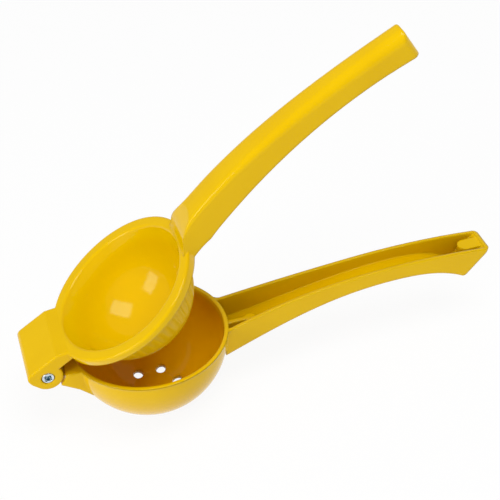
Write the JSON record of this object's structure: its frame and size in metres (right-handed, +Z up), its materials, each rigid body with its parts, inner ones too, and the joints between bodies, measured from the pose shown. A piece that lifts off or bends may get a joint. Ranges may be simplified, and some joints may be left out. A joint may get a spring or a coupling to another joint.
{
  "type": "hinged lemon squeezer",
  "caption": "Hinged citrus squeezer: round cup with drain holes and a fluted press bowl, each on a long arched handle, joined by a hinge pin; half open.",
  "frame": {"origin": "centre of the flat that the cup stands on", "axes": "+X from the hinge to the handle ends, +Z up out of the cup, hinge pin along Y"},
  "size_m": [0.2292, 0.0762, 0.1717],
  "materials": {
    "cup_enamel": "glossy yellow enamel on cast aluminium",
    "press_enamel": "glossy yellow enamel on cast aluminium",
    "plated_steel": "zinc-plated steel",
    "screw_steel": "zinc-plated steel, bluish in the recess"
  },
  "bodies": {
    "cup": {"cup_lever": "cup_enamel"},
    "press": {"press_lever": "press_enamel", "hinge_sleeve": "plated_steel", "hinge_screw": "screw_steel"}
  },
  "joints": [
    {"name": "press_hinge", "type": "hinge", "parent": "cup", "child": "press", "pos_m": [-0.0493, 0, 0.03885], "axis": [0, -1, 0], "range_deg": [-31.1, 95]}
  ]
}
